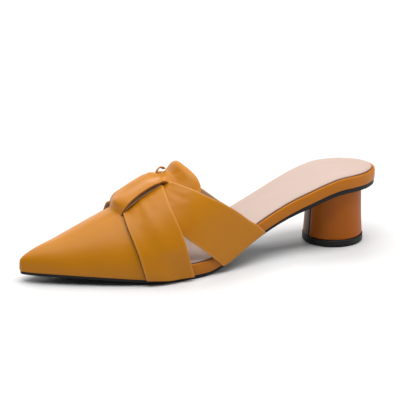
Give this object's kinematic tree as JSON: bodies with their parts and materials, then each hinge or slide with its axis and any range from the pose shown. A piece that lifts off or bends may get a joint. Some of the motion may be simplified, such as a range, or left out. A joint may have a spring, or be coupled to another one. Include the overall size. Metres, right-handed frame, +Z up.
{
  "type": "block heel mule",
  "caption": "Pointed open-back mule shoe with crossed instep straps under a bridge band and tongue, on a low round heel.",
  "frame": {"origin": "centre of the round heel's underside, on the ground", "axes": "+X towards the toe, +Y towards the outer side of the left shoe, +Z up"},
  "size_m": [0.2641, 0.0801, 0.0726],
  "materials": {
    "outsole": "satin black edge, matte underside",
    "footbed_leather": "smooth mustard leather wrap, semi-gloss",
    "insole_lining": "pale pink lining leather, satin",
    "heel_leather": "smooth mustard leather wrap, semi-gloss",
    "top_piece": "satin black",
    "vamp_leather": "smooth fine-grained mustard leather, semi-gloss",
    "strap_leather": "smooth fine-grained mustard leather, semi-gloss"
  },
  "bodies": {
    "root": {"outsole": "outsole", "footbed": "footbed_leather", "insole": "insole_lining", "heel_block": "heel_leather", "heel_top_piece": "top_piece", "vamp": "vamp_leather", "straps": "strap_leather"}
  },
  "joints": []
}
